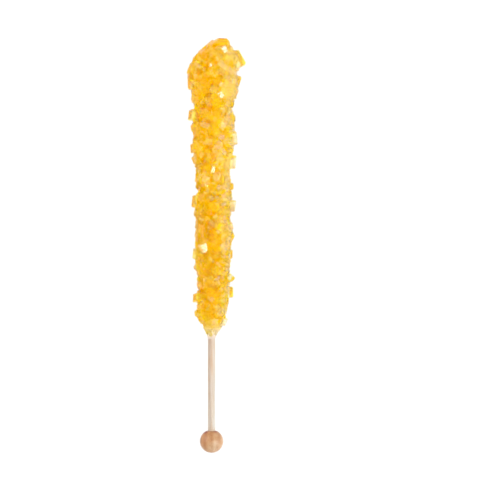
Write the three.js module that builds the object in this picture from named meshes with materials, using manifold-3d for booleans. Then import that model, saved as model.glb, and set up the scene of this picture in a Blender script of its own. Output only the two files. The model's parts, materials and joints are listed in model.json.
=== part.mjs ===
// Rock candy on a stick: a birch dowel with a turned wooden ball glued on its lower end as a
// handle, and a thick crust of blocky sugar crystals grown round its upper two thirds.
//
// It lies on its side on four crystals that reach further down than the rest, so the ball hangs
// just clear of the surface. Millimetres, +Z up, the candy towards +Y. Each piece is modelled along
// +Y with the ball's centre at the origin, and one group then tips them to lie as they rest.

import * as THREE from "three";
import { mergeVertices } from "three/addons/utils/BufferGeometryUtils.js";
import Module from "manifold-3d";

const { degToRad, lerp, smoothstep } = THREE.MathUtils;
const wasm = await Module();
wasm.setup();

// ---- Driving sizes ----
const BALL_DIAMETER = 10;
const BALL_FLAT = 0.6; // turned off the ball's top, where the hole is drilled
const BALL_SIDES = 32;
const BALL_RINGS = 20;
const STICK_DIAMETER = 3.2;
const STICK_SIDES = 24;
const STICK_FROM = -3.2; // the dowel's lower end, inside the ball
const NECK = 45.7; // from the ball's centre to where the sugar starts
const CANDY_LENGTH = 127;
const STICK_IN_CANDY = 117; // how far up the crust the dowel runs
const GAP = 0.3; // all round the dowel, in the ball and in the crust

// How it lies: the dowel's height over the surface at the ball's centre, and its slope
const AXIS_HEIGHT = 5.9;
const SLOPE = degToRad(1.71);

// The crust's outline, by height over the neck: radius to the crystals' tips, and how far its
// middle lies to the right of the dowel
const OUTLINE = [
  { height: 0, radius: 2.1, shift: 0.1 },
  { height: 3, radius: 3.8, shift: 0.4 },
  { height: 5, radius: 4.5, shift: 0.6 },
  { height: 8, radius: 5.9, shift: -0.2 },
  { height: 13, radius: 6.6, shift: 0.6 },
  { height: 24, radius: 7.0, shift: 0.9 },
  { height: 31, radius: 7.4, shift: 0.5 },
  { height: 44, radius: 7.8, shift: 1.1 },
  { height: 50, radius: 7.5, shift: 0.7 },
  { height: 57, radius: 8.0, shift: 0.9 },
  { height: 62, radius: 7.3, shift: 1.3 },
  { height: 70, radius: 7.4, shift: 0.7 },
  { height: 78, radius: 8.5, shift: 0.7 },
  { height: 90, radius: 8.8, shift: 1.1 },
  { height: 98, radius: 8.2, shift: 0.8 },
  { height: 104, radius: 9.9, shift: 1.2 },
  { height: 113, radius: 10.8, shift: 0.8 },
  { height: 119, radius: 9.6, shift: 1.9 },
  { height: 124, radius: 5.8, shift: 3.3 },
  { height: 127, radius: 0.4, shift: 4.2 },
];
const CORE_DEPTH = 2.2; // from the tips down to the solid sugar that the crystals grow out of
const NECK_TAPER = 12; // the height over which the crust thickens to that depth
const CORE_SIDES = 12;

// ---- Crystals ----
// Sugar's own faces, as normals: b runs along the crystal, and a and c lean 103 degrees apart
const FACES = {
  a: [[1, 0, 0], [-1, 0, 0]],
  c: [[0.22, 0, 0.975], [-0.22, 0, -0.975]],
  d: [[0.69, 0, 0.72], [-0.69, 0, -0.72]],
  r: [[-0.45, 0, 0.893], [0.45, 0, -0.893]],
  p: [[0.635, 0.773, 0], [-0.635, 0.773, 0], [0.635, -0.773, 0], [-0.635, -0.773, 0]],
  b: [[0, 1, 0], [0, -1, 0]],
  q: [[0.167, 0.665, 0.728], [-0.167, 0.665, -0.728]],
};

// The shapes it grows in: how far each pair of faces lies from the middle, for a size of 1
const HABITS = [
  { a: 0.62, c: 0.78, d: 0.86, p: 0.98 },
  { a: 0.72, c: 0.6, b: 0.95, p: 1.06 },
  { a: 0.5, c: 0.74, d: 0.78, b: 1.0 },
  { a: 0.8, c: 0.62, r: 0.72, p: 1.0 },
  { a: 0.66, c: 0.7, b: 0.9, q: 0.92 },
  { a: 0.86, c: 0.86, d: 0.9, r: 0.9, p: 0.9, b: 0.92, q: 0.92 },
];
const COMMON_HABITS = 5; // the last one, almost round, grows only at the very top
const ROUGH_BLOCK = 4; // a cube that all of them are cut from

// What points out of the crust: the crystal's end, its side or its flat
const FACINGS = ["end", "side", "flat"];

// The crystals that stand out most: height over the neck, degrees round the dowel (0 is right, 90
// up and 180 left), how far past the outline it reaches, its size and shape, degrees of spin about
// the way out, and degrees of lean: towards the top, or as far round from there as `way` says
const LANDMARKS = [
  { height: 123.9, around: 180, out: 0.3, size: 5.0, habit: 1, facing: "side", lean: 18, way: -90 },
  { height: 126.2, around: 20, out: 1.3, size: 3.9, habit: 5, facing: "end", spin: 25, lean: 27 },
  { height: 118, around: 3, out: 3.0, size: 4.0, habit: 1, facing: "side", lean: 34, way: 56 },
  { height: 114.2, around: 178, out: 0.8, size: 3.4, habit: 1, facing: "end", spin: 10, lean: 32, way: -62 },
  { height: 112.4, around: 181, out: 0.5, size: 2.8, habit: 4, facing: "flat", spin: 30, lean: 25, way: -90 },
  { height: 108.3, around: 183, out: 1.1, size: 3.4, habit: 1, facing: "side", lean: 30, way: -84 },
  { height: 108.5, around: 2, out: 1.4, size: 3.3, habit: 1, facing: "side", lean: 30, way: 113 },
  { height: 104.6, around: 3, out: 0.4, size: 2.2, habit: 0, facing: "end", lean: 28, way: 135 },
  { height: 101.4, around: 180, out: 0.8, size: 3.0, habit: 0, facing: "flat", lean: 22, way: -90 },
  { height: 94.4, around: 180, out: 2.4, size: 3.3, habit: 1, facing: "end", lean: 26, way: -86 },
  { height: 93, around: 1, out: 0.8, size: 2.6, habit: 2, facing: "end", spin: 30, lean: 30, way: 90 },
  { height: 89.4, around: 178, out: 1.3, size: 2.4, habit: 4, facing: "end", spin: 20, lean: 24, way: -90 },
  { height: 84, around: 2, out: 1.8, size: 3.2, habit: 0, facing: "end", lean: 30, way: 78 },
  { height: 80.4, around: 178, out: 1.3, size: 3.0, habit: 1, facing: "end", lean: 28, way: -96 },
  { height: 75, around: 180, out: 1.2, size: 2.4, habit: 3, facing: "end", spin: 40, lean: 20, way: -90 },
  { height: 74.3, around: 3, out: 2.0, size: 3.0, habit: 0, facing: "end", spin: 10, lean: 32, way: 97 },
  { height: 67, around: 181, out: 0.9, size: 2.4, habit: 2, facing: "flat", lean: 25, way: -90 },
  { height: 63.4, around: 2, out: 1.0, size: 2.3, habit: 4, facing: "end", lean: 28, way: 90 },
  { height: 57.4, around: 182, out: 1.5, size: 2.8, habit: 1, facing: "side", spin: 10, lean: 30, way: -82 },
  { height: 55.6, around: 4, out: 1.9, size: 2.7, habit: 0, facing: "end", lean: 30, way: 101 },
  { height: 53, around: 179, out: 0.9, size: 2.8, habit: 0, facing: "flat", spin: 15, lean: 20, way: -90 },
  { height: 46.8, around: 1, out: 0.9, size: 2.2, habit: 3, facing: "end", spin: 20, lean: 26, way: 90 },
  { height: 43.8, around: 180, out: 0.7, size: 2.3, habit: 4, facing: "flat", lean: 24, way: -90 },
  { height: 42.6, around: 3, out: 1.2, size: 2.4, habit: 1, facing: "end", spin: 35, lean: 30, way: 90 },
  { height: 34.8, around: 180, out: 1.4, size: 2.6, habit: 0, facing: "end", lean: 30, way: -75 },
  { height: 34.6, around: 2, out: 0.9, size: 2.3, habit: 2, facing: "end", lean: 25, way: 90 },
  { height: 29.2, around: 180, out: 1.1, size: 2.4, habit: 3, facing: "flat", lean: 26, way: -90 },
  { height: 24.4, around: 4, out: 2.3, size: 2.0, habit: 3, facing: "end", spin: 60, lean: 24, way: 40 },
  { height: 18.4, around: 2, out: 1.9, size: 2.5, habit: 1, facing: "side", lean: 32, way: 83 },
  { height: 16, around: 180, out: 2.1, size: 2.8, habit: 1, facing: "end", lean: 30, way: -82 },
  { height: 9.6, around: 178, out: 1.3, size: 2.0, habit: 4, facing: "end", lean: 25, way: -90 },
  { height: 6.2, around: 183, out: 0.8, size: 1.8, habit: 1, facing: "end", lean: 26, way: -112 },
  { height: 5.8, around: 0, out: 1.2, size: 1.9, habit: 0, facing: "end", lean: 25, way: 90 },
];

// The four that it lies on, which are cut off flat by the surface
const FEET = [
  { height: 110, around: 252, out: 1.1, size: 3.2, habit: 1, facing: "end" },
  { height: 112, around: 288, out: 1.0, size: 3.2, habit: 2, facing: "end" },
  { height: 19, around: 248, out: 1.9, size: 2.6, habit: 1, facing: "end" },
  { height: 20, around: 292, out: 1.9, size: 2.6, habit: 2, facing: "end" },
];

// All the others, spread evenly over the crust by seeded draws between these limits
const LARGE = { count: 136, size: [3.0, 3.8] };
const SMALL = { count: 108, size: [1.9, 2.6] };
const FIRST_HEIGHT = 4; // the neck under it is bare
const FULL_SIZE_HEIGHT = 100; // crystals grow larger from the neck up to here
const RING_STEP = 0.25; // the crust is summed up in rings of this height
const SLOPE_REACH = 0.5; // how far each way the crust's slope is taken
const SIZE_AT_NECK = 0.68;
const OUT = [-0.9, 0.6];
const LEAN = [0, 38];
const STRETCH = [0.85, 1.2];
const GOLDEN_ANGLE = 180 * (3 - Math.sqrt(5));
const UNEVEN_ANGLE = [-12, 12];
const SEED = 933;
const DRAW_FACTOR = 48271;
const DRAW_RANGE = 2147483647;

// ---- Solids ----
const SAME_CORNER = 1e-4; // corners nearer than this are joined into one

function solidOf(geometry) {
  const bare = geometry.index ? geometry.toNonIndexed() : geometry.clone();
  bare.deleteAttribute("normal");
  bare.deleteAttribute("uv");
  const merged = mergeVertices(bare, SAME_CORNER);
  const mesh = new wasm.Mesh({
    numProp: 3,
    vertProperties: merged.attributes.position.array,
    triVerts: new Uint32Array(merged.index.array),
  });
  return new wasm.Manifold(mesh);
}

function geometryOf(solid) {
  const { vertProperties, triVerts } = solid.getMesh();
  const geometry = new THREE.BufferGeometry();
  geometry.setAttribute("position", new THREE.BufferAttribute(vertProperties, 3));
  geometry.setIndex(new THREE.BufferAttribute(triVerts, 1));
  const faceted = geometry.toNonIndexed();
  faceted.computeVertexNormals();
  return faceted;
}

// What is left of a solid behind a plane, given by its normal and its distance from the origin
function cutBehind(solid, normal, distance) {
  return solid.trimByPlane(normal.map((n) => -n), -distance);
}

// ---- The crust's outline ----
function outlineAt(height) {
  const next = OUTLINE.findIndex((row) => row.height > height);
  const high = OUTLINE.at(next);
  const low = next > 0 ? OUTLINE[next - 1] : OUTLINE.at(-2);
  const t = (height - low.height) / (high.height - low.height);
  return { radius: lerp(low.radius, high.radius, t), shift: lerp(low.shift, high.shift, t) };
}

// A crystal's size at a height, as a share of the size at the top
function growthAt(height) {
  return lerp(SIZE_AT_NECK, 1, smoothstep(height, 0, FULL_SIZE_HEIGHT));
}

// The crust's surface as a running sum of rings from the neck up, each counted by how many
// crystals of the size there it takes to cover it
function ringSums() {
  const rings = [];
  let sum = 0;
  for (let height = FIRST_HEIGHT; height < CANDY_LENGTH; height += RING_STEP) {
    const low = outlineAt(height).radius;
    const high = outlineAt(height + RING_STEP).radius;
    sum += (low + high) * Math.hypot(RING_STEP, high - low) / growthAt(height) ** 2;
    rings.push({ height: height + RING_STEP, sum });
  }
  return rings;
}

const rings = ringSums();

// The height that has this share of the crystals below it
function heightAtShare(share) {
  return rings.find((ring) => ring.sum >= share * rings.at(-1).sum).height;
}

// ---- Crystals as solids ----
function crystalOf(habit) {
  let crystal = solidOf(new THREE.BoxGeometry(ROUGH_BLOCK, ROUGH_BLOCK, ROUGH_BLOCK));
  for (const [form, distance] of Object.entries(habit)) {
    for (const normal of FACES[form]) {
      crystal = cutBehind(crystal, normal, distance);
    }
  }
  return crystal;
}

const shapes = HABITS.map(crystalOf);

// One crystal, grown out of the crust so that its tip is `out` past the outline
function crystalAt({
  height, around, out, size, habit, facing, spin = 0, lean = 0, way = 0, stretch = [1, 1, 1],
}) {
  const { radius, shift } = outlineAt(height);
  const taper = outlineAt(Math.max(height - SLOPE_REACH, 0)).radius
    - outlineAt(Math.min(height + SLOPE_REACH, CANDY_LENGTH)).radius;
  const tilt = Math.atan2(taper, 2 * SLOPE_REACH);
  const angle = degToRad(around);
  const round = new THREE.Vector3(Math.cos(angle), 0, Math.sin(angle));
  const sideways = new THREE.Vector3(-Math.sin(angle), 0, Math.cos(angle));
  const outward = round.clone().multiplyScalar(Math.cos(tilt)).setY(Math.sin(tilt));
  const upward = sideways.clone().cross(outward);

  const axes = [sideways, outward, upward];
  const first = FACINGS.indexOf(facing);
  const turned = axes.map((_, i) => axes[(i + first) % 3]);
  const leanAxis = sideways.clone().applyAxisAngle(outward, degToRad(way));
  const place = new THREE.Matrix4()
    .makeRotationAxis(leanAxis, degToRad(lean))
    .multiply(new THREE.Matrix4().makeRotationAxis(outward, degToRad(spin)))
    .multiply(new THREE.Matrix4().makeBasis(...turned))
    .scale(new THREE.Vector3(...stretch).multiplyScalar(size));
  const crystal = shapes[habit].transform(place.elements);

  const corners = crystal.getMesh().vertProperties;
  let reach = 0;
  for (let i = 0; i < corners.length; i += 3) {
    reach = Math.max(reach, new THREE.Vector3().fromArray(corners, i).dot(outward));
  }
  const middle = new THREE.Vector3(shift, NECK + height, 0)
    .addScaledVector(round, radius)
    .addScaledVector(outward, out - reach);
  return crystal.translate(middle.toArray());
}

// Even draws between two limits, the same on every run
let drawn = SEED;
function draw([low, high]) {
  drawn = (drawn * DRAW_FACTOR) % DRAW_RANGE;
  return lerp(low, high, drawn / DRAW_RANGE);
}

function pick(count) {
  return Math.floor(draw([0, count]));
}

function scattered({ count, size }) {
  return Array.from({ length: count }, (_, i) => {
    const height = heightAtShare((i + draw([0, 1])) / count);
    return crystalAt({
      height,
      around: i * GOLDEN_ANGLE + draw(UNEVEN_ANGLE),
      out: draw(OUT),
      size: growthAt(height) * draw(size),
      habit: pick(COMMON_HABITS),
      facing: FACINGS[pick(FACINGS.length)],
      spin: draw([0, 360]),
      lean: draw(LEAN),
      way: draw([0, 360]),
      stretch: [draw(STRETCH), draw(STRETCH), draw(STRETCH)],
    });
  });
}

// ---- Pieces ----
// The solid sugar under the crystals: a lathe's round body, pushed over to follow the outline
function sugarCore() {
  const profile = OUTLINE.slice(0, -1).map(({ height, radius }) => {
    const depth = CORE_DEPTH * smoothstep(height, 0, NECK_TAPER);
    return new THREE.Vector2(radius - depth, height);
  });
  profile.unshift(new THREE.Vector2(0, 0));
  profile.push(new THREE.Vector2(0, CANDY_LENGTH - CORE_DEPTH));
  const core = new THREE.LatheGeometry(profile, CORE_SIDES);
  const points = core.attributes.position;
  for (let i = 0; i < points.count; i += 1) {
    const height = points.getY(i);
    points.setX(i, points.getX(i) + outlineAt(height).shift);
    points.setY(i, NECK + height);
  }
  return solidOf(core);
}

function dowel(radius, from, to) {
  const straight = new THREE.CylinderGeometry(radius, radius, to - from, STICK_SIDES);
  return straight.translate(0, (from + to) / 2, 0);
}

function dowelHole(from, to) {
  return solidOf(dowel(STICK_DIAMETER / 2 + GAP, from, to));
}

// The whole crust in one piece, cut off flat where it rests, without any scrap that comes loose
function candy() {
  const crystals = [...LANDMARKS, ...FEET].map(crystalAt);
  const crust = wasm.Manifold.union([
    sugarCore(), ...crystals, ...scattered(LARGE), ...scattered(SMALL),
  ]);
  const down = [0, -Math.sin(SLOPE), -Math.cos(SLOPE)];
  const bodies = cutBehind(crust, down, AXIS_HEIGHT)
    .subtract(dowelHole(0, NECK + STICK_IN_CANDY + GAP))
    .decompose();
  return geometryOf(bodies.reduce((a, b) => (a.volume() > b.volume() ? a : b)));
}

function ball() {
  const radius = BALL_DIAMETER / 2;
  const round = solidOf(new THREE.SphereGeometry(radius, BALL_SIDES, BALL_RINGS));
  const flattened = cutBehind(round, [0, 1, 0], radius - BALL_FLAT);
  return geometryOf(flattened.subtract(dowelHole(STICK_FROM - GAP, BALL_DIAMETER)));
}

function stick() {
  return dowel(STICK_DIAMETER / 2, STICK_FROM, NECK + STICK_IN_CANDY);
}

// ---- The object ----
function piece(name, geometry, color, roughness) {
  const material = new THREE.MeshStandardMaterial({ color, roughness, metalness: 0 });
  const mesh = new THREE.Mesh(geometry, material);
  mesh.name = name;
  return mesh;
}

const lying = new THREE.Group();
lying.rotation.x = SLOPE;
lying.add(
  piece("candy", candy(), 0xf6c043, 0.25),
  piece("stick", stick(), 0xecd8bf, 0.6),
  piece("ball", ball(), 0xd9a578, 0.5),
);

const rockCandyStick = new THREE.Group();
rockCandyStick.add(lying);
const box = new THREE.Box3().setFromObject(rockCandyStick, true);
const middle = box.getCenter(new THREE.Vector3());
lying.position.set(-middle.x, -middle.y, -box.min.z);

export default rockCandyStick;
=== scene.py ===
# Rock candy on a stick, lying on its side on a white table: the wooden ball, the dowel, the crust
# of clear yellow sugar crystals and the cloudy sugar that shows through them.

import json
import math

import bpy
from mathutils import Matrix, Quaternion, Vector

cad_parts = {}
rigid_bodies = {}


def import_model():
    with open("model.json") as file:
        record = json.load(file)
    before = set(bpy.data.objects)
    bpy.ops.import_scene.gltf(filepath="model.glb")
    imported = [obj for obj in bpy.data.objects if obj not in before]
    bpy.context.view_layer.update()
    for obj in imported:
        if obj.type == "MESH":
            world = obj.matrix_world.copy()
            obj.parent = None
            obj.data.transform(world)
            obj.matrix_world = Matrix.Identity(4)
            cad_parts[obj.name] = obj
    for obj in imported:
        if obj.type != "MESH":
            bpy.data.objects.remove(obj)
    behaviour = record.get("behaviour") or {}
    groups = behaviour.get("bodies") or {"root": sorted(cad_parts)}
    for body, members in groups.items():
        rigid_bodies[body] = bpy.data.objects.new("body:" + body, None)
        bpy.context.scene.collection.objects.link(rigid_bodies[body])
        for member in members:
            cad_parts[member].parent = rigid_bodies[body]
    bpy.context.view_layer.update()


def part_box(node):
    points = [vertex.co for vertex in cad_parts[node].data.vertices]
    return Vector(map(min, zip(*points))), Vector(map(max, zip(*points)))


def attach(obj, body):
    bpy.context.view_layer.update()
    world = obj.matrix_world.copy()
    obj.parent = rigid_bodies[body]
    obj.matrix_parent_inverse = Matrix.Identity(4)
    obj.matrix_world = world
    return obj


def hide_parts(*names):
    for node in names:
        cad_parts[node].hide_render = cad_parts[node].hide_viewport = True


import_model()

# ---- The ball ----
# A wooden bead, turned on a lathe and left plain but for a light polish. Its colour carries painted
# shade on the upper left and painted light on the lower right, a painted highlight low on the right
# and painted shade at the left edge. Its top is cut flat and drilled for the dowel, and the brown
# marks at both sides of the rim are partly burnt by the drill and partly painted shade.
MM = 0.001
SLOPE = math.radians(1.71)  # of the dowel, as the whole thing lies
TURNED_TO_Y = (math.radians(90), 0, 0)
BALL_RADIUS = 5.0
BALL_SEGMENTS = 96
BALL_RINGS = 64
BALL_FLAT = 0.6
BALL_HOLE = 1.66
HOLE_DEPTH = 3.0
HOLE_EDGE = 0.01
RIM_WIDTH = 0.18
RIM_DROP = 0.05
UPWARD = 0.999
SMOOTH_UNDER = math.radians(35)
PLAIN = (1, 1, 1)
RING_STRETCH = (0.9, 0.3, 0.9)
RING_WAVES = {"Scale": 0.12, "Distortion": 5.0, "Detail": 4.0, "Detail_Scale": 1.4}
RING_COLOURS = ((0.0, (0.41, 0.21, 0.092)), (0.5, (0.445, 0.24, 0.11)), (1.0, (0.47, 0.265, 0.127)))
PATCHES = {"Scale": 0.45, "Detail": 3.0}
PATCH_SHADES = ((0.36, (0.90, 0.83, 0.76)), (0.5, PLAIN), (0.62, (1.06, 1.12, 1.22)))
# The way to the ball's side with painted shade; the opposite side gets painted light.
BALL_SHADED_SIDE = (-0.75, 0.5, 0.1)
BALL_PAINTED_SHADES = ((0.25, (1.08, 1.16, 1.3)), (0.5, PLAIN), (0.85, (0.86, 0.66, 0.48)))
PORE_STRETCH = (1, 0.25, 1)
PORES = {"Scale": 2.6, "Detail": 3.0}
PORE_SHADES = ((0.36, (0.93, 0.9, 0.87)), (0.5, PLAIN))
# Brown at the drilled rim: partly burnt by the drill and partly painted shade where the flat meets
# the dowel.
BURNT_AND_PAINTED_SHADE = (0.6, 0.2, 0.06)
# A painted highlight: a paler patch low on the ball's right.
PAINTED_HIGHLIGHT = (1.05, 1.2, 1.4)
# Painted shade along the ball's left edge.
PAINTED_SHADE_EDGE = (0.74, 0.85, 0.93)
MARKS = (  # middle, reach and shade
    ((-2.4, 4.1, 1.4), 1.5, BURNT_AND_PAINTED_SHADE),
    ((1.6, 4.35, 1.8), 1.2, BURNT_AND_PAINTED_SHADE),
    ((1.5, -1.8, 4.4), 3.2, PAINTED_HIGHLIGHT),
    ((-4.7, 0.3, 0.8), 2.2, PAINTED_SHADE_EDGE),
)
MARK_CORE = 0.35  # the share of its reach in which a mark has its full shade
BALL_ROUGHNESS = 0.4

# Every piece is made in millimetres along +Y from the ball's centre, then laid down by this.
ball_low, ball_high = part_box("ball")
ball_centre = Vector((
    (ball_low.x + ball_high.x) / 2,
    ball_low.y + BALL_RADIUS * MM,
    ball_low.z + BALL_RADIUS * MM,
))
LYING = Matrix.Translation(ball_centre) @ Matrix.Rotation(SLOPE, 4, "X") @ Matrix.Scale(MM, 4)


def start_piece(name):
    """Names the new primitive, applies its place and opens it with everything selected."""
    piece = bpy.context.object
    piece.name = piece.data.name = name
    bpy.ops.object.transform_apply(location=True, rotation=True, scale=True)
    bpy.ops.object.mode_set(mode="EDIT")
    bpy.ops.mesh.select_all(action="SELECT")
    return piece


def select_faces(piece, wanted):
    bpy.ops.object.mode_set(mode="OBJECT")
    for part in (piece.data.vertices, piece.data.edges):
        part.foreach_set("select", [False] * len(part))
    for face in piece.data.polygons:
        face.select = wanted(face)
    bpy.ops.object.mode_set(mode="EDIT")
    bpy.ops.mesh.select_mode(type="FACE")


def lay_down(piece, material):
    bpy.ops.object.mode_set(mode="OBJECT")
    piece.data.transform(LYING)
    piece.data.materials.clear()
    piece.data.materials.append(material)


def new_material(name):
    material = bpy.data.materials.new(name)
    material.use_nodes = True
    tree = material.node_tree
    return material, tree, tree.nodes["Principled BSDF"]


def add_node(tree, kind, settings=None, **inputs):
    """Adds a node. An input is a value, or a socket that it is linked to."""
    node = tree.nodes.new(kind)
    for key, value in (settings or {}).items():
        setattr(node, key, value)
    for key, value in inputs.items():
        socket = node.inputs[key.replace("_", " ")]
        if isinstance(value, bpy.types.NodeSocket):
            tree.links.new(value, socket)
        else:
            socket.default_value = value
    return node


def shaded(tree, value, stops):
    """A colour ramp over the value. A stop is its place and its colour."""
    node = add_node(tree, "ShaderNodeValToRGB", Fac=value)
    ramp = node.color_ramp
    while len(ramp.elements) > 1:
        ramp.elements.remove(ramp.elements[-1])
    ramp.elements[0].position, ramp.elements[0].color = stops[0][0], (*stops[0][1], 1)
    for place, colour in stops[1:]:
        ramp.elements.new(place).color = (*colour, 1)
    return node.outputs["Color"]


def multiplied(tree, colour, *shades):
    for shade in shades:
        mixed = add_node(
            tree, "ShaderNodeMix", {"data_type": "RGBA", "blend_type": "MULTIPLY"}, Factor=1.0,
        )
        tree.links.new(colour, mixed.inputs["A"])
        tree.links.new(shade, mixed.inputs["B"])
        colour = mixed.outputs["Result"]
    return colour


def stretched(tree, place, scale):
    return add_node(tree, "ShaderNodeMapping", Vector=place, Scale=scale).outputs["Vector"]


def local_place(tree):
    """The place on the lying piece in its own millimetres, from the ball's centre."""
    object_place = add_node(tree, "ShaderNodeTexCoord").outputs["Object"]
    mapping = add_node(
        tree, "ShaderNodeMapping", {"vector_type": "TEXTURE"}, Vector=object_place,
        Location=ball_centre, Rotation=(SLOPE, 0, 0), Scale=(MM, MM, MM),
    )
    return mapping.outputs["Vector"]


bpy.ops.object.select_all(action="DESELECT")
bpy.ops.mesh.primitive_uv_sphere_add(
    segments=BALL_SEGMENTS, ring_count=BALL_RINGS, radius=BALL_RADIUS, rotation=TURNED_TO_Y,
)
ball = start_piece("turned_ball")
bpy.ops.mesh.bisect(
    plane_co=(0, BALL_RADIUS - BALL_FLAT, 0), plane_no=(0, 1, 0), use_fill=True, clear_outer=True,
)
flat_radius = math.sqrt(BALL_RADIUS ** 2 - (BALL_RADIUS - BALL_FLAT) ** 2)
select_faces(ball, lambda face: face.normal.y > UPWARD and face.center.y > BALL_RADIUS / 2)
bpy.ops.mesh.inset(thickness=RIM_WIDTH, depth=RIM_DROP)
bpy.ops.mesh.inset(thickness=flat_radius - RIM_WIDTH - BALL_HOLE)
bpy.ops.mesh.inset(thickness=HOLE_EDGE)
bpy.ops.mesh.extrude_region_move(TRANSFORM_OT_translate={"value": (0, -HOLE_DEPTH, 0)})
bpy.ops.object.mode_set(mode="OBJECT")
bpy.ops.object.shade_smooth_by_angle(angle=SMOOTH_UNDER)

turned_wood, tree, shader = new_material("turned_wood")
place = local_place(tree)
growth_rings = add_node(
    tree, "ShaderNodeTexWave", {"wave_type": "BANDS", "bands_direction": "X"},
    Vector=stretched(tree, place, RING_STRETCH), **RING_WAVES,
)
ring_colour = shaded(tree, growth_rings.outputs["Fac"], RING_COLOURS)
patches = add_node(tree, "ShaderNodeTexNoise", Vector=place, **PATCHES)
patch_shade = shaded(tree, patches.outputs["Fac"], PATCH_SHADES)
# Painted shade towards the upper left and painted light towards the lower right of the ball.
to_ball_shaded_side = add_node(tree, "ShaderNodeVectorMath", {"operation": "DOT_PRODUCT"}, Vector=place)
to_ball_shaded_side.inputs[1].default_value = BALL_SHADED_SIDE
ball_shaded_share = add_node(
    tree, "ShaderNodeMapRange", Value=to_ball_shaded_side.outputs["Value"],
    From_Min=-BALL_RADIUS, From_Max=BALL_RADIUS,
)
ball_painted_shade = shaded(tree, ball_shaded_share.outputs["Result"], BALL_PAINTED_SHADES)
pores = add_node(tree, "ShaderNodeTexNoise", Vector=stretched(tree, place, PORE_STRETCH), **PORES)
pore_shade = shaded(tree, pores.outputs["Fac"], PORE_SHADES)
wood_colour = multiplied(tree, ring_colour, patch_shade, ball_painted_shade, pore_shade)
for middle, reach, shade in MARKS:
    from_mark = add_node(tree, "ShaderNodeVectorMath", {"operation": "DISTANCE"}, Vector=place)
    from_mark.inputs[1].default_value = middle
    mark_share = add_node(
        tree, "ShaderNodeMapRange", Value=from_mark.outputs["Value"], From_Max=reach,
    )
    mark_shade = shaded(tree, mark_share.outputs["Result"], ((MARK_CORE, shade), (1.0, PLAIN)))
    wood_colour = multiplied(tree, wood_colour, mark_shade)
tree.links.new(wood_colour, shader.inputs["Base Color"])
shader.inputs["Roughness"].default_value = BALL_ROUGHNESS
lay_down(ball, turned_wood)
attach(ball, "root")
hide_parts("ball")

# ---- The dowel ----
# Straight-grained white birch, sawn and rounded, and sanded but not varnished. It is glued into
# the ball and runs nearly to the top of the candy. Just below the candy the syrup has stained it.
STICK_RADIUS = 1.6
STICK_SEGMENTS = 64
STICK_FROM = -2.9
STICK_IN_CANDY = 117.0
STICK_END_RIM = 0.15
END_ON = 0.9
NECK = 45.7  # where the candy begins
GRAIN_STRETCH = (3.2, 0.06, 3.2)
GRAIN = {"Scale": 1.0, "Detail": 5.0}
GRAIN_COLOURS = ((0.3, (0.44, 0.345, 0.265)), (0.5, (0.51, 0.415, 0.33)), (0.72, (0.55, 0.475, 0.4)))
FLECK_STRETCH = (0.9, 0.16, 0.9)
FLECKS = {"Scale": 1.0, "Detail": 2.0}
FLECK_SHADES = ((0.38, (0.97, 0.88, 0.80)), (0.52, PLAIN), (0.64, (0.97, 1.0, 1.06)))
STAIN_LENGTH = 40.0
STAIN_SHADES = ((0.0, (1.02, 1.03, 1.02)), (1.0, (1.0, 0.92, 0.86)))
# Painted shade on the dowel's left side and painted light on its right.
STICK_PAINTED_SHADES = (  # from the left side to the right
    (0.0, (0.92, 0.92, 0.92)),
    (0.3, (0.85, 0.85, 0.85)),
    (0.5, (1.03, 1.03, 1.02)),
    (0.9, (1.0, 1.12, 1.2)),
)
BIRCH_ROUGHNESS = 0.6

stick_length = NECK + STICK_IN_CANDY - STICK_FROM
bpy.ops.object.select_all(action="DESELECT")
bpy.ops.mesh.primitive_cylinder_add(
    vertices=STICK_SEGMENTS, radius=STICK_RADIUS, depth=stick_length, end_fill_type="NGON",
    location=(0, STICK_FROM + stick_length / 2, 0), rotation=TURNED_TO_Y,
)
stick = start_piece("birch_stick")
bpy.ops.mesh.select_all(action="DESELECT")
select_faces(stick, lambda face: abs(face.normal.y) > END_ON)
bpy.ops.mesh.inset(thickness=STICK_END_RIM)
bpy.ops.object.mode_set(mode="OBJECT")
bpy.ops.object.shade_smooth_by_angle(angle=SMOOTH_UNDER)

white_birch, tree, shader = new_material("white_birch")
place = local_place(tree)
grain = add_node(tree, "ShaderNodeTexNoise", Vector=stretched(tree, place, GRAIN_STRETCH), **GRAIN)
grain_colour = shaded(tree, grain.outputs["Fac"], GRAIN_COLOURS)
flecks = add_node(tree, "ShaderNodeTexNoise", Vector=stretched(tree, place, FLECK_STRETCH), **FLECKS)
fleck_shade = shaded(tree, flecks.outputs["Fac"], FLECK_SHADES)
along = add_node(tree, "ShaderNodeSeparateXYZ", Vector=place).outputs["Y"]
stain = add_node(
    tree, "ShaderNodeMapRange", Value=along, From_Min=NECK - STAIN_LENGTH, From_Max=NECK,
)
stain_shade = shaded(tree, stain.outputs["Result"], STAIN_SHADES)
# Across the dowel: painted shade on the left, painted light on the right.
across = add_node(tree, "ShaderNodeSeparateXYZ", Vector=place).outputs["X"]
stick_painted_share = add_node(
    tree, "ShaderNodeMapRange", Value=across, From_Min=-STICK_RADIUS, From_Max=STICK_RADIUS,
)
stick_painted_shade = shaded(tree, stick_painted_share.outputs["Result"], STICK_PAINTED_SHADES)
birch_colour = multiplied(tree, grain_colour, fleck_shade, stain_shade, stick_painted_shade)
tree.links.new(birch_colour, shader.inputs["Base Color"])
shader.inputs["Roughness"].default_value = BIRCH_ROUGHNESS
lay_down(stick, white_birch)
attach(stick, "root")
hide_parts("stick")

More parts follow.
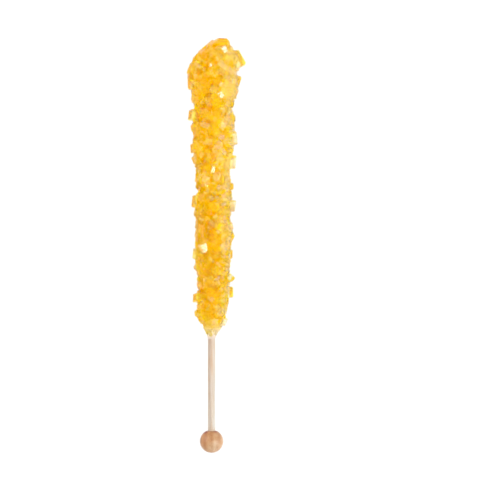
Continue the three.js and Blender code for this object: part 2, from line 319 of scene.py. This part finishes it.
# ---- The crust ----
# Clear yellow sugar, grown from syrup: each crystal is a sheared block with slanted ends, and all
# of them grow out of a solid layer round the dowel. Near the neck they are small, and at the top
# they are as large as peppercorns.
CANDY_LENGTH = 127.0
OUTLINE = (  # height over the neck, radius to the crystals' tips, shift to the right
    (0, 2.1, 0.1),
    (3, 3.8, 0.4),
    (5, 4.5, 0.6),
    (8, 5.9, -0.2),
    (13, 6.6, 0.6),
    (24, 7.0, 0.9),
    (31, 7.4, 0.5),
    (44, 7.8, 1.1),
    (50, 7.5, 0.7),
    (57, 8.0, 0.9),
    (62, 7.3, 1.3),
    (70, 7.4, 0.7),
    (78, 8.5, 0.7),
    (90, 8.8, 1.1),
    (98, 8.2, 0.8),
    (104, 9.9, 1.2),
    (113, 10.8, 0.8),
    (119, 9.6, 1.9),
    (124, 5.8, 3.3),
    (127, 0.4, 4.2),
)
SLOPE_REACH = 0.5  # over which the outline's own slope is taken
CORE_DEPTH = 2.2
CORE_FOOT = ((0.6, 1.7), (0.7, 2.1))  # height and radius
CORE_SIDES = 48
NECK_TAPER = 12.0
PALE_NECK = 2.0
POINT = 0.01
SAME_PLACE = 0.02
FACES = {  # which way the faces of each form look
    "a": ((1, 0, 0), (-1, 0, 0)),
    "c": ((0.22, 0, 0.975), (-0.22, 0, -0.975)),
    "d": ((0.69, 0, 0.72), (-0.69, 0, -0.72)),
    "r": ((-0.45, 0, 0.893), (0.45, 0, -0.893)),
    "p": ((0.635, 0.773, 0), (-0.635, 0.773, 0), (0.635, -0.773, 0), (-0.635, -0.773, 0)),
    "b": ((0, 1, 0), (0, -1, 0)),
    "q": ((0.167, 0.665, 0.728), (-0.167, 0.665, -0.728)),
}
HABITS = (  # how far the faces of each form are from a crystal's middle
    {"a": 0.62, "c": 0.78, "d": 0.86, "p": 0.98},
    {"a": 0.72, "c": 0.6, "b": 0.95, "p": 1.06},
    {"a": 0.5, "c": 0.74, "d": 0.78, "b": 1.0},
    {"a": 0.8, "c": 0.62, "r": 0.72, "p": 1.0},
    {"a": 0.66, "c": 0.7, "b": 0.9, "q": 0.92},
    {"a": 0.86, "c": 0.86, "d": 0.9, "r": 0.9, "p": 0.9, "b": 0.92, "q": 0.92},
)
COMMON_HABITS = 5  # the last one, almost round, grows only at the very top
ROUGH_CRYSTAL = 4
WORN_EDGE = 0.05
WORN_SEGMENTS = 2
FACINGS = ("end", "side", "flat")
# Crystals that stand out: height, degrees round from the right, reach past the outline, size,
# habit, facing, and the degrees of its spin, of its lean and of the way that it leans
STANDING_OUT = (
    (123.9, 180, 0.3, 5.0, 1, "side", 0, 18, -90),
    (126.2, 20, 1.3, 3.9, 5, "end", 25, 27, 0),
    (118, 3, 3.0, 4.0, 1, "side", 0, 34, 56),
    (114.2, 178, 0.8, 3.4, 1, "end", 10, 32, -62),
    (112.4, 181, 0.5, 2.8, 4, "flat", 30, 25, -90),
    (108.3, 183, 1.1, 3.4, 1, "side", 0, 30, -84),
    (108.5, 2, 1.4, 3.3, 1, "side", 0, 30, 113),
    (104.6, 3, 0.4, 2.2, 0, "end", 0, 28, 135),
    (101.4, 180, 0.8, 3.0, 0, "flat", 0, 22, -90),
    (94.4, 180, 2.4, 3.3, 1, "end", 0, 26, -86),
    (93, 1, 0.8, 2.6, 2, "end", 30, 30, 90),
    (89.4, 178, 1.3, 2.4, 4, "end", 20, 24, -90),
    (84, 2, 1.8, 3.2, 0, "end", 0, 30, 78),
    (80.4, 178, 1.3, 3.0, 1, "end", 0, 28, -96),
    (75, 180, 1.2, 2.4, 3, "end", 40, 20, -90),
    (74.3, 3, 2.0, 3.0, 0, "end", 10, 32, 97),
    (67, 181, 0.9, 2.4, 2, "flat", 0, 25, -90),
    (63.4, 2, 1.0, 2.3, 4, "end", 0, 28, 90),
    (57.4, 182, 1.5, 2.8, 1, "side", 10, 30, -82),
    (55.6, 4, 1.9, 2.7, 0, "end", 0, 30, 101),
    (53, 179, 0.9, 2.8, 0, "flat", 15, 20, -90),
    (46.8, 1, 0.9, 2.2, 3, "end", 20, 26, 90),
    (43.8, 180, 0.7, 2.3, 4, "flat", 0, 24, -90),
    (42.6, 3, 1.2, 2.4, 1, "end", 35, 30, 90),
    (34.8, 180, 1.4, 2.6, 0, "end", 0, 30, -75),
    (34.6, 2, 0.9, 2.3, 2, "end", 0, 25, 90),
    (29.2, 180, 1.1, 2.4, 3, "flat", 0, 26, -90),
    (24.4, 4, 2.3, 2.0, 3, "end", 60, 24, 40),
    (18.4, 2, 1.9, 2.5, 1, "side", 0, 32, 83),
    (16, 180, 2.1, 2.8, 1, "end", 0, 30, -82),
    (9.6, 178, 1.3, 2.0, 4, "end", 0, 25, -90),
    (6.2, 183, 0.8, 1.8, 1, "end", 0, 26, -112),
    (5.8, 0, 1.2, 1.9, 0, "end", 0, 25, 90),
)
TOP_CRYSTALS = 2
STRAIGHT_UP = 90  # degrees round from the right, which part the left crystals from the right
FEET = (  # the four that it lies on
    (110, 252, 1.1, 3.2, 1, "end", 0, 0),
    (112, 288, 1.0, 3.2, 2, "end", 0, 0),
    (19, 248, 1.9, 2.6, 1, "end", 0, 0),
    (20, 292, 1.9, 2.6, 2, "end", 0, 0),
)
GLINTS = (  # broad faces turned to catch the light, one of them stretched
    (122.3, 67, 1.9, 1.7, 1, "side", 20, 43.1, 155.5),
    (115.3, 98, 1.0, 0.8, 1, "side", 0, 20.3, -132.5),
    (102.7, 73, 1.5, 1.6, 1, "side", 40, 17.2, 37.4),
    (70.7, 90, 1.2, 1.9, 1, "side", 80, 10.3, -41.7, (1, 0.5, 1.2)),
    (37.5, 124, 1.9, 2.2, 1, "side", 20, 41.2, -85.4),
)
# The crystals that make up the rest. The last three kinds have sharp edges: they fill the gaps, go
# over the top and cover the neck. A tone goes from 0, deep yellow, to 1, clear.
LARGE = {"count": 136, "size": (3.0, 3.8), "out": (-0.9, 0.6), "tones": (0.04, 0.65)}
SMALL = {"count": 108, "size": (1.9, 2.6), "out": (-0.9, 0.6), "tones": (0.04, 0.9)}
FINE = {"count": 2100, "size": (1.0, 1.8), "out": (-0.8, 0.5), "tones": (0, 0.9)}
CAP = {"count": 44, "size": (1.3, 2.0), "out": (-0.5, 0.1), "tones": (0, 0.7)}
CRUMBS = {"count": 300, "size": (0.6, 1.3), "out": (-0.6, 0.2), "tones": (0.7, 0.95)}
FINE_PART = 0.965  # of the way up the crust
CAP_HEIGHTS = (119.0, 123.4)
CRUMB_HEIGHTS = (0.0, 7.0)
# Under 0, so that the painted light on the right, where the top leans, leaves the top crystals deep
# yellow.
TOP_TONES = (-0.35, -0.2)  # under 0, because the top leans to the paler right
# The crystals standing out on the right get paler tones as painted light, and the side faces of those
# on both sides get deeper tones as painted shade.
LEFT_TONES = (0.4, 0.9)
LEFT_SIDES_PAINTED_SHADE = 0.15
RIGHT_TONES = (0.85, 1)
RIGHT_SIDES_PAINTED_SHADE = 0.5
FEET_TONES = (0, 0.8)
GLINT_TONES = (0.8, 1)
# Painted light: each crystal is made paler the further right it stands.
PAINTED_LIGHT_RIGHT = 0.55
PAINTED_LIGHT_REACH = 8.0
# Faces pointing further up or down than this keep the crystal's tone; its side faces take the deeper
# one, a painted shade.
PAINTED_PALE_FACING = 0.6  # faces that point further up or down than this are clear
FIRST_HEIGHT = 4.0
FULL_SIZE_HEIGHT = 100.0
SIZE_AT_NECK = 0.68
LEAN = (0, 38)
STRETCH = (0.85, 1.2)
GOLDEN_ANGLE = 180 * (3 - math.sqrt(5))
UNEVEN_ANGLE = (-12, 12)
FULL_TURN = 360
RING_STEP = 0.25
SEED = 933
DRAW_FACTOR = 48271
DRAW_RANGE = 2147483647
TABLE_BLOCK = 400.0
SUGAR_COLOURS = (
    (0.0, (0.98, 0.6, 0.0)),
    (0.1, (0.985, 0.69, 0.0)),
    (0.6, (0.985, 0.79, 0.01)),
    (0.85, (0.98, 0.91, 0.38)),
    (1.0, (0.98, 0.935, 0.86)),
)
SUGAR_CLEARNESS = 0.88
SUGAR_ROUGHNESS = 0.1
SUGAR_IOR = 1.3
SUGAR_DEPTH_COLOUR = (0.999, 0.93, 0.0, 1)
SUGAR_DENSITY = 200.0


def mix(low, high, share):
    return low + (high - low) * share


def smooth_step(value, low, high):
    share = min(max((value - low) / (high - low), 0), 1)
    return share * share * (3 - 2 * share)


def outline_at(height):
    """The crust's radius to the tips and its shift to the right."""
    rows = [i for i in range(1, len(OUTLINE)) if OUTLINE[i][0] > height]
    upper = rows[0] if rows else len(OUTLINE) - 1
    low, high = OUTLINE[upper - 1], OUTLINE[upper]
    share = (height - low[0]) / (high[0] - low[0])
    return mix(low[1], high[1], share), mix(low[2], high[2], share)


def growth_at(height):
    return mix(SIZE_AT_NECK, 1, smooth_step(height, 0, FULL_SIZE_HEIGHT))


def ring_sums():
    """Heights up the crust, each with the room for crystals below it."""
    rings, total, height = [], 0, FIRST_HEIGHT
    while height < CANDY_LENGTH:
        low, high = outline_at(height)[0], outline_at(height + RING_STEP)[0]
        total += (low + high) * math.hypot(RING_STEP, high - low) / growth_at(height) ** 2
        height += RING_STEP
        rings.append((height, total))
    return rings


crust_rings = ring_sums()
drawn = SEED


def draw(low, high):
    global drawn
    drawn = drawn * DRAW_FACTOR % DRAW_RANGE
    return mix(low, high, drawn / DRAW_RANGE)


def crystal_shape(number, habit, bevel, segments):
    """One crystal of size 1: a cube cut by its faces. Its sharp corners are kept for placing it."""
    bpy.ops.object.select_all(action="DESELECT")
    bpy.ops.mesh.primitive_cube_add(size=ROUGH_CRYSTAL)
    crystal = start_piece(f"crystal_{number}_{segments}")
    for form, distance in habit.items():
        for normal in FACES[form]:
            bpy.ops.mesh.select_all(action="SELECT")
            bpy.ops.mesh.bisect(
                plane_co=Vector(normal) * distance, plane_no=normal, use_fill=True, clear_outer=True,
            )
    bpy.ops.object.mode_set(mode="OBJECT")
    corners = [vertex.co.copy() for vertex in crystal.data.vertices]
    if segments:
        bpy.ops.object.mode_set(mode="EDIT")
        bpy.ops.mesh.select_all(action="SELECT")
        bpy.ops.mesh.bevel(offset=bevel, segments=segments, affect="EDGES", clamp_overlap=True)
        bpy.ops.object.mode_set(mode="OBJECT")
    crystal.data.attributes.new("tone", "FLOAT", "FACE")
    bpy.context.collection.objects.unlink(crystal)
    return crystal.data, corners


worn = [crystal_shape(i, habit, WORN_EDGE, WORN_SEGMENTS) for i, habit in enumerate(HABITS)]
sharp = [crystal_shape(i, habit, 0, 0) for i, habit in enumerate(HABITS)]
crystals = bpy.data.collections.new("crystals")
bpy.context.scene.collection.children.link(crystals)


def grow_crystal(
    shapes, height, around, out, size, habit, facing, spin, lean, way=0, stretch=(1, 1, 1),
):
    """Adds a crystal that grows out of the crust so that its tip is `out` past the outline."""
    radius, shift = outline_at(height)
    above = outline_at(min(height + SLOPE_REACH, CANDY_LENGTH))[0]
    below = outline_at(max(height - SLOPE_REACH, 0))[0]
    tilt = math.atan2(below - above, 2 * SLOPE_REACH)
    angle = math.radians(around)
    round_way = Vector((math.cos(angle), 0, math.sin(angle)))
    sideways = Vector((-math.sin(angle), 0, math.cos(angle)))
    outward = round_way * math.cos(tilt) + Vector((0, math.sin(tilt), 0))
    upward = sideways.cross(outward)

    axes = (sideways, outward, upward)
    first = FACINGS.index(facing)
    turned = Matrix([axes[(i + first) % 3] for i in range(3)]).transposed().to_4x4()
    lean_axis = Quaternion(outward, math.radians(way)) @ sideways
    turn = (
        Matrix.Rotation(math.radians(lean), 4, lean_axis)
        @ Matrix.Rotation(math.radians(spin), 4, outward)
        @ turned
        @ Matrix.Diagonal((*(share * size for share in stretch), 1))
    )
    mesh, corners = shapes[habit]
    reach = max((turn @ corner).dot(outward) for corner in corners)
    middle = Vector((shift, NECK + height, 0)) + round_way * radius + outward * (out - reach)
    crystal = bpy.data.objects.new("crystal", mesh.copy())
    crystal.data.transform(Matrix.Translation(middle) @ turn)
    crystals.objects.link(crystal)
    return crystal


def height_on_crust(share):
    return next(height for height, total in crust_rings if total >= share * crust_rings[-1][1])


def scatter(kind, shapes, height_at=height_on_crust):
    """Grows crystals of one kind in a spiral up the crust, each a little out of line."""
    count = kind["count"]
    scattered = []
    for i in range(count):
        height = height_at((i + draw(0, 1)) / count)
        around = i * GOLDEN_ANGLE + draw(*UNEVEN_ANGLE)
        out = draw(*kind["out"])
        size = growth_at(height) * draw(*kind["size"])
        habit = int(draw(0, COMMON_HABITS))
        facing = FACINGS[int(draw(0, len(FACINGS)))]
        spin, lean, way = draw(0, FULL_TURN), draw(*LEAN), draw(0, FULL_TURN)
        stretch = (draw(*STRETCH), draw(*STRETCH), draw(*STRETCH))
        scattered.append(grow_crystal(
            shapes, height, around, out, size, habit, facing, spin, lean, way, stretch,
        ))
    return scattered


def tint(scattered, deepest, palest, sides=None):
    """Gives each crystal a tone, with painted light making it paler towards the right. Its side faces
    may have their own, painted deeper as shade.
    """
    for crystal in scattered:
        box = crystal.bound_box
        to_right = max(sum(corner[0] for corner in box) / len(box), 0) / PAINTED_LIGHT_REACH
        # Painted light: paler the further right the crystal stands.
        tone = draw(deepest, palest) + PAINTED_LIGHT_RIGHT * to_right
        # Side faces may get a deeper tone, a painted shade.
        crystal.data.attributes["tone"].data.foreach_set("value", [
            tone if sides is None or abs(face.normal.z) > PAINTED_PALE_FACING else sides
            for face in crystal.data.polygons
        ])


def sugar_body(name, profile):
    """A solid round body drawn up ring by ring, each ring at its height and of its radius."""
    bpy.ops.object.select_all(action="DESELECT")
    bpy.ops.mesh.primitive_circle_add(vertices=CORE_SIDES, radius=1, rotation=TURNED_TO_Y)
    body = start_piece(name)
    bpy.ops.mesh.edge_face_add()
    height, radius = profile[0]
    shift = outline_at(height)[1]
    bpy.ops.transform.translate(value=(shift, NECK + height, 0))
    bpy.ops.transform.resize(value=(radius, 1, radius))
    for next_height, next_radius in profile[1:]:
        move = (outline_at(next_height)[1] - shift, next_height - height, 0)
        bpy.ops.mesh.extrude_region_move(TRANSFORM_OT_translate={"value": move})
        share = next_radius / radius
        bpy.ops.transform.resize(value=(share, 1, share))
        height, radius, shift = next_height, next_radius, outline_at(next_height)[1]
    bpy.ops.mesh.select_all(action="SELECT")
    bpy.ops.mesh.remove_doubles(threshold=SAME_PLACE)
    bpy.ops.mesh.normals_make_consistent(inside=False)
    bpy.ops.object.mode_set(mode="OBJECT")
    body.data.attributes.new("tone", "FLOAT", "FACE")
    return body


def core_profile(depth, film, foot):
    """The outline above a foot, less the crystals' depth and a film."""
    rows = [row for row in OUTLINE[:-1] if row[0] > foot[-1][0]]
    return [
        *foot,
        *((row[0], row[1] - film - depth * smooth_step(row[0], 0, NECK_TAPER)) for row in rows),
        (CANDY_LENGTH - depth - film, POINT),
    ]


def boolean(body, operation, source, kind="OBJECT"):
    bpy.ops.object.select_all(action="DESELECT")
    body.select_set(True)
    bpy.context.view_layer.objects.active = body
    modifier = body.modifiers.new(operation, "BOOLEAN")
    modifier.operation = operation
    modifier.solver = "MANIFOLD"
    modifier.operand_type = kind
    setattr(modifier, kind.lower(), source)
    bpy.ops.object.modifier_apply(modifier=modifier.name)


def grow_together(body):
    """Joins the body and its crystals, cuts them flat at the table and drops what comes loose."""
    boolean(body, "UNION", crystals, "COLLECTION")
    for crystal in list(crystals.objects):
        bpy.data.objects.remove(crystal)
    bpy.ops.object.select_all(action="DESELECT")
    bpy.ops.mesh.primitive_cube_add(
        size=TABLE_BLOCK, rotation=(-SLOPE, 0, 0),
        location=LYING.inverted() @ Vector((0, 0, -TABLE_BLOCK / 2 * MM)),
    )
    block = bpy.context.object
    boolean(body, "DIFFERENCE", block)
    bpy.data.objects.remove(block)
    bpy.ops.object.mode_set(mode="EDIT")
    bpy.ops.mesh.select_all(action="SELECT")
    bpy.ops.mesh.separate(type="LOOSE")
    bpy.ops.object.mode_set(mode="OBJECT")
    parts = sorted(bpy.context.selected_objects, key=lambda part: len(part.data.vertices))
    name = body.name
    for part in parts[:-1]:
        bpy.data.objects.remove(part)
    whole = parts[-1]
    whole.name = whole.data.name = name
    return whole


top_rows, side_rows = STANDING_OUT[:TOP_CRYSTALS], STANDING_OUT[TOP_CRYSTALS:]
left_rows = [row for row in side_rows if row[1] > STRAIGHT_UP]
right_rows = [row for row in side_rows if row[1] <= STRAIGHT_UP]
large, small = scatter(LARGE, worn), scatter(SMALL, worn)
tint(large, *LARGE["tones"])
tint(small, *SMALL["tones"])
tint([grow_crystal(worn, *row) for row in top_rows], *TOP_TONES)
tint([grow_crystal(worn, *row) for row in left_rows], *LEFT_TONES, LEFT_SIDES_PAINTED_SHADE)
tint([grow_crystal(worn, *row) for row in right_rows], *RIGHT_TONES, RIGHT_SIDES_PAINTED_SHADE)
tint([grow_crystal(worn, *row) for row in FEET], *FEET_TONES)
tint([grow_crystal(worn, *row) for row in GLINTS], *GLINT_TONES)
fine = scatter(FINE, sharp, lambda share: height_on_crust(FINE_PART * share))
tint(fine, *FINE["tones"])
cap = scatter(CAP, sharp, lambda share: mix(*CAP_HEIGHTS, share))
tint(cap, *CAP["tones"])
crumbs = scatter(CRUMBS, sharp, lambda share: mix(*CRUMB_HEIGHTS, share))
tint(crumbs, *CRUMBS["tones"])
core = sugar_body("candy_crystals", core_profile(CORE_DEPTH, 0, CORE_FOOT))
core.data.attributes["tone"].data.foreach_set("value", [
    mix(1, 0, smooth_step(face.center.y - NECK, PALE_NECK, NECK_TAPER))
    for face in core.data.polygons
])
crust = grow_together(core)
bpy.data.collections.remove(crystals)

clear_sugar, tree, shader = new_material("clear_yellow_sugar")
tone = add_node(tree, "ShaderNodeAttribute", {"attribute_name": "tone"}).outputs["Fac"]
tree.links.new(shaded(tree, tone, SUGAR_COLOURS), shader.inputs["Base Color"])
shader.inputs["Transmission Weight"].default_value = SUGAR_CLEARNESS
shader.inputs["Roughness"].default_value = SUGAR_ROUGHNESS
shader.inputs["IOR"].default_value = SUGAR_IOR
absorption = add_node(
    tree, "ShaderNodeVolumeAbsorption", Density=SUGAR_DENSITY, Color=SUGAR_DEPTH_COLOUR,
)
tree.links.new(absorption.outputs["Volume"], tree.nodes["Material Output"].inputs["Volume"])
lay_down(crust, clear_sugar)
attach(crust, "root")
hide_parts("candy")

# ---- The cloudy sugar inside ----
# The first crystals on the dowel are so small and close that they make one cloudy layer, a deep
# golden yellow, which shows through the clear ones. At the neck it is drawn out along the dowel
# into a thin pale film.
CLOUDY_FILM = 0.3
UNDER_THE_CORE = 0.2
CLOUDY_FOOT = ((-1.6, 1.61), (-0.8, 1.8), (0.2, 2.05))  # height and radius
CLOUDY_SMOOTH_UNDER = math.radians(30)
SUGAR_GRAIN_SCALE = 0.8
SUGAR_GRAIN_SHADES = ((0.0, (1.0, 0.5, 0.0)), (0.5, (1.0, 0.69, 0.01)), (1.0, (1.0, 0.83, 0.12)))
SUGAR_GRAIN_HEIGHT = 0.0004
SUGAR_GRAIN_STRENGTH = 0.6
# Heights over the neck between which the film changes, and turns golden
FILM_FROM = -2
FILM_TO = 6
FILM_COLOURS = (  # up the neck
    (0.0, (0.52, 0.42, 0.34)),
    (0.25, (0.68, 0.54, 0.4)),
    (0.5, (0.86, 0.67, 0.34)),
    (0.8, (1.0, 0.7, 0.16)),
)
GOLDEN_FROM = 2
GOLDEN_TO = 7
CLOUDY_ROUGHNESS = 0.5

heart = sugar_body(
    "cloudy_sugar", core_profile(CORE_DEPTH + UNDER_THE_CORE, CLOUDY_FILM, CLOUDY_FOOT),
)
bpy.ops.object.shade_smooth_by_angle(angle=CLOUDY_SMOOTH_UNDER)

cloudy_sugar, tree, shader = new_material("cloudy_golden_sugar")
place = local_place(tree)
grains = add_node(tree, "ShaderNodeTexVoronoi", Vector=place, Scale=SUGAR_GRAIN_SCALE)
grain_shade = add_node(tree, "ShaderNodeSeparateColor", Color=grains.outputs["Color"])
golden_grains = shaded(tree, grain_shade.outputs["Red"], SUGAR_GRAIN_SHADES)
along = add_node(tree, "ShaderNodeSeparateXYZ", Vector=place).outputs["Y"]
up_the_neck = add_node(
    tree, "ShaderNodeMapRange", Value=along, From_Min=NECK + FILM_FROM, From_Max=NECK + FILM_TO,
)
pale_film = shaded(tree, up_the_neck.outputs["Result"], FILM_COLOURS)
golden_share = add_node(
    tree, "ShaderNodeMapRange", Value=along, From_Min=NECK + GOLDEN_FROM, From_Max=NECK + GOLDEN_TO,
)
sugar_colour = add_node(
    tree, "ShaderNodeMix", {"data_type": "RGBA"}, Factor=golden_share.outputs["Result"],
)
tree.links.new(pale_film, sugar_colour.inputs["A"])
tree.links.new(golden_grains, sugar_colour.inputs["B"])
tree.links.new(sugar_colour.outputs["Result"], shader.inputs["Base Color"])
grain_bump = add_node(
    tree, "ShaderNodeBump", Height=grains.outputs["Distance"],
    Strength=SUGAR_GRAIN_STRENGTH, Distance=SUGAR_GRAIN_HEIGHT,
)
tree.links.new(grain_bump.outputs["Normal"], shader.inputs["Normal"])
shader.inputs["Roughness"].default_value = CLOUDY_ROUGHNESS
lay_down(heart, cloudy_sugar)
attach(heart, "root")

# ---- The table, light and camera ----
# A white table top, lit through from below in a pale studio. Two soft lights stand at its sides, the
# stronger one on the right, and a small lamp overhead makes the broad crystal faces glint.
TABLE_SIZE = 20.0
UNDER_THE_CANDY = 0.00002  # keeps the table's top out of the flat crystal tips
TABLE_COLOUR = (0.2, 0.2, 0.2, 1)
TABLE_ROUGHNESS = 0.9
TABLE_GLOW = 0.85
WHITE = (1, 1, 1, 1)
# How bright the studio is on each side
LEFT_WALL = 0.93
RIGHT_WALL = 1.08
HORIZON = 0.75
CEILING = 0.94
CEILING_FROM = 0.4  # of the way up from the horizon
LIT_SPOT = (0, 0, 0)
LIGHTS = (  # name, place, size and power
    ("right_softbox", (0.6, -0.2, 0.45), 0.6, 4.0),
    ("left_softbox", (-0.6, 0.2, 0.3), 0.6, 3.0),
    ("small_lamp", (0.2, 0, 0.9), 0.08, 0.6),
)
IMAGE_SIZE = 500
WHOLE_LENGTH = 178.0
WHOLE_LENGTH_IN_PIXELS = 415.0
STICK_COLUMN = 211.5
BALL_END_ROW = 453.3
CAMERA_HEIGHT = 1.2
AXIS_HEIGHT = 0.0085
SENSOR = 36.0
FILTER_WIDTH = 1.75

bpy.ops.object.select_all(action="DESELECT")
bpy.ops.mesh.primitive_plane_add(size=TABLE_SIZE, location=(0, 0, -UNDER_THE_CANDY))
table = bpy.context.object
table.name = "table"
table_white, tree, shader = new_material("table_white")
shader.inputs["Base Color"].default_value = TABLE_COLOUR
shader.inputs["Roughness"].default_value = TABLE_ROUGHNESS
shader.inputs["Emission Color"].default_value = WHITE
shader.inputs["Emission Strength"].default_value = TABLE_GLOW
table.data.materials.append(table_white)

world = bpy.data.worlds.new("studio")
bpy.context.scene.world = world
world.use_nodes = True
tree = world.node_tree
world_place = add_node(tree, "ShaderNodeTexCoord").outputs["Generated"]
towards = add_node(tree, "ShaderNodeSeparateXYZ", Vector=world_place)
walls = add_node(
    tree, "ShaderNodeMapRange", Value=towards.outputs["X"],
    From_Min=-1.0, To_Min=LEFT_WALL, To_Max=RIGHT_WALL,
)
ceiling = add_node(
    tree, "ShaderNodeMapRange", Value=towards.outputs["Z"],
    From_Max=CEILING_FROM, To_Min=HORIZON, To_Max=CEILING,
)
studio = add_node(tree, "ShaderNodeMath", {"operation": "MULTIPLY"})
tree.links.new(walls.outputs["Result"], studio.inputs[0])
tree.links.new(ceiling.outputs["Result"], studio.inputs[1])
tree.nodes["Background"].inputs["Color"].default_value = WHITE
tree.links.new(studio.outputs["Value"], tree.nodes["Background"].inputs["Strength"])

for name, light_place, size, power in LIGHTS:
    light = bpy.data.lights.new(name, "AREA")
    light.shape = "SQUARE"
    light.size = size
    light.energy = power
    lamp = bpy.data.objects.new(name, light)
    lamp.location = light_place
    lamp.rotation_euler = (Vector(LIT_SPOT) - Vector(light_place)).to_track_quat("-Z", "Y").to_euler()
    bpy.context.scene.collection.objects.link(lamp)

mm_per_pixel = WHOLE_LENGTH / WHOLE_LENGTH_IN_PIXELS
camera_data = bpy.data.cameras.new("camera")
camera_data.sensor_width = SENSOR
camera_data.lens = SENSOR * (CAMERA_HEIGHT - AXIS_HEIGHT) / (IMAGE_SIZE * mm_per_pixel * MM)
camera = bpy.data.objects.new("camera", camera_data)
camera.location = (
    ball_centre.x + (IMAGE_SIZE / 2 - STICK_COLUMN) * mm_per_pixel * MM,
    ball_centre.y - BALL_RADIUS * MM + (BALL_END_ROW - IMAGE_SIZE / 2) * mm_per_pixel * MM,
    CAMERA_HEIGHT,
)
bpy.context.scene.collection.objects.link(camera)
bpy.context.scene.camera = camera
bpy.context.scene.view_settings.view_transform = "Standard"
bpy.context.scene.cycles.denoising_input_passes = "RGB"
bpy.context.scene.cycles.filter_width = FILTER_WIDTH
